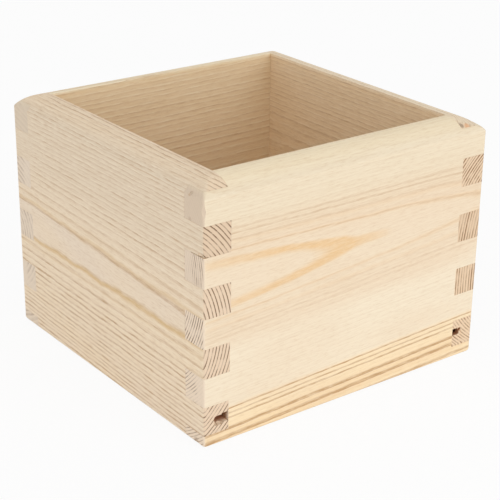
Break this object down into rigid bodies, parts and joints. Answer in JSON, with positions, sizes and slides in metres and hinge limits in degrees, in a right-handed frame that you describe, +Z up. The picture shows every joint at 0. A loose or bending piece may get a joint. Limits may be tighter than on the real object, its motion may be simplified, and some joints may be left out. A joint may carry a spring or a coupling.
{
  "type": "wooden storage box",
  "caption": "Open-topped square pine box with finger-jointed corners, a rounded rim and a thin bottom panel held in a groove, for pens, craft tools and small parts.",
  "frame": {"origin": "middle of the footprint, on the surface that the box stands on", "axes": "+Z up, front wall towards -Y, left wall towards -X"},
  "size_m": [0.15, 0.15, 0.113],
  "materials": {
    "pine": "bare sanded pine, matt, with growth rings on the faces and end grain on the fingers",
    "plywood": "bare thin plywood, matt"
  },
  "bodies": {
    "root": {"front_wall": "pine", "back_wall": "pine", "left_wall": "pine", "right_wall": "pine", "bottom_panel": "plywood"}
  },
  "joints": []
}
